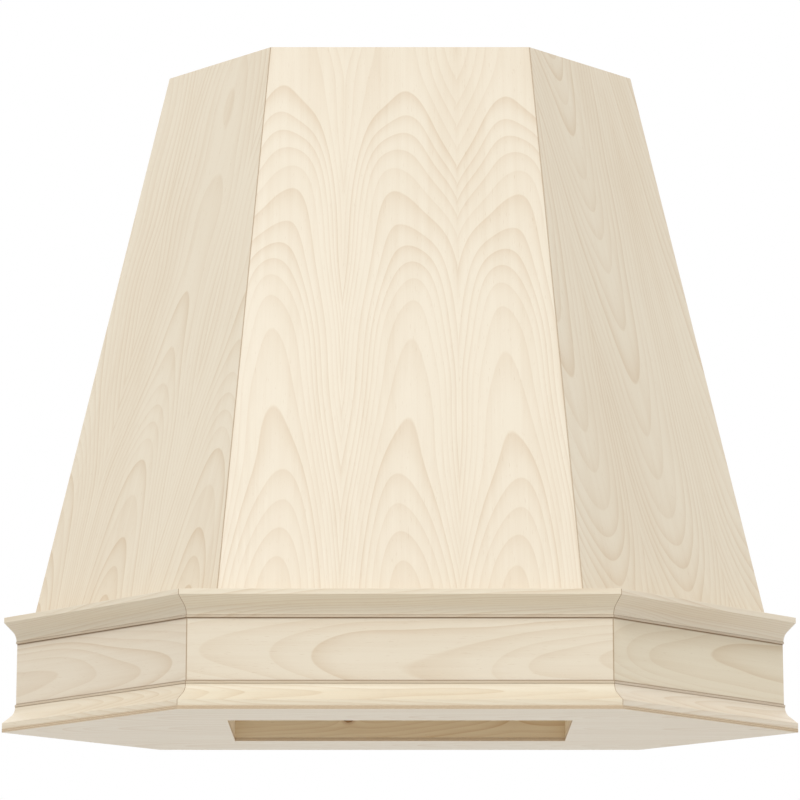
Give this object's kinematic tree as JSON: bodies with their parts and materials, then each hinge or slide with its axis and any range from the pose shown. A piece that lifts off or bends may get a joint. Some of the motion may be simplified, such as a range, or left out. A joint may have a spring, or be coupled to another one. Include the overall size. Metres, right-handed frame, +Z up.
{
  "type": "wooden range hood cover",
  "caption": "Wooden hood cover for a room corner: mitred valance between two cove mouldings, tapered body with plain panels, open back, and a ventilator cut-out in the underside.",
  "frame": {"origin": "bottom centre of the whole cover: on the underside, halfway across the front, and midway between the front of the mouldings and the clipped back", "axes": "+X to the right when facing the front, +Y to the back, towards the room corner, +Z up"},
  "size_m": [1.2192, 0.5138, 1.112],
  "materials": {
    "face_board": "clear satin lacquer on pale maple",
    "moulding": "clear satin lacquer on pale maple",
    "face_panel": "clear satin lacquer on maple veneer",
    "bottom_ply": "clear satin lacquer on maple veneered plywood",
    "deck_ply": "sanded maple-faced plywood",
    "frame_wood": "planed, unfinished softwood",
    "hardwood": "planed hardwood",
    "screw_steel": "bright zinc plated"
  },
  "bodies": {
    "root": {"back_cleat_left": "frame_wood", "back_cleat_right": "frame_wood", "base_cleat_front": "frame_wood", "base_cleat_left": "frame_wood", "base_cleat_right": "frame_wood", "base_moulding_front": "moulding", "base_moulding_left": "moulding", "base_moulding_right": "moulding", "base_screws": "screw_steel", "bearer_left": "frame_wood", "bearer_right": "frame_wood", "bearer_screws": "screw_steel", "bottom_panel": "bottom_ply", "corner_post_left": "frame_wood", "corner_post_right": "frame_wood", "crown_front": "moulding", "crown_left": "moulding", "crown_right": "moulding", "cutout_rail_front": "frame_wood", "cutout_rail_rear": "frame_wood", "cutout_screws": "screw_steel", "deck_screws": "screw_steel", "front_panel": "face_panel", "glue_blocks": "frame_wood", "rear_base_rail": "frame_wood", "rear_rail": "frame_wood", "rear_stile_left": "frame_wood", "rear_stile_right": "frame_wood", "side_panel_left": "face_panel", "side_panel_right": "face_panel", "top_deck": "deck_ply", "top_rail_front": "frame_wood", "top_rail_left": "frame_wood", "top_rail_rear": "frame_wood", "top_rail_right": "frame_wood", "valance_front": "face_board", "valance_left": "face_board", "valance_right": "face_board", "valance_splines": "hardwood", "wall_rail_left": "frame_wood", "wall_rail_right": "frame_wood", "wall_stile_left": "frame_wood", "wall_stile_right": "frame_wood"}
  },
  "joints": []
}
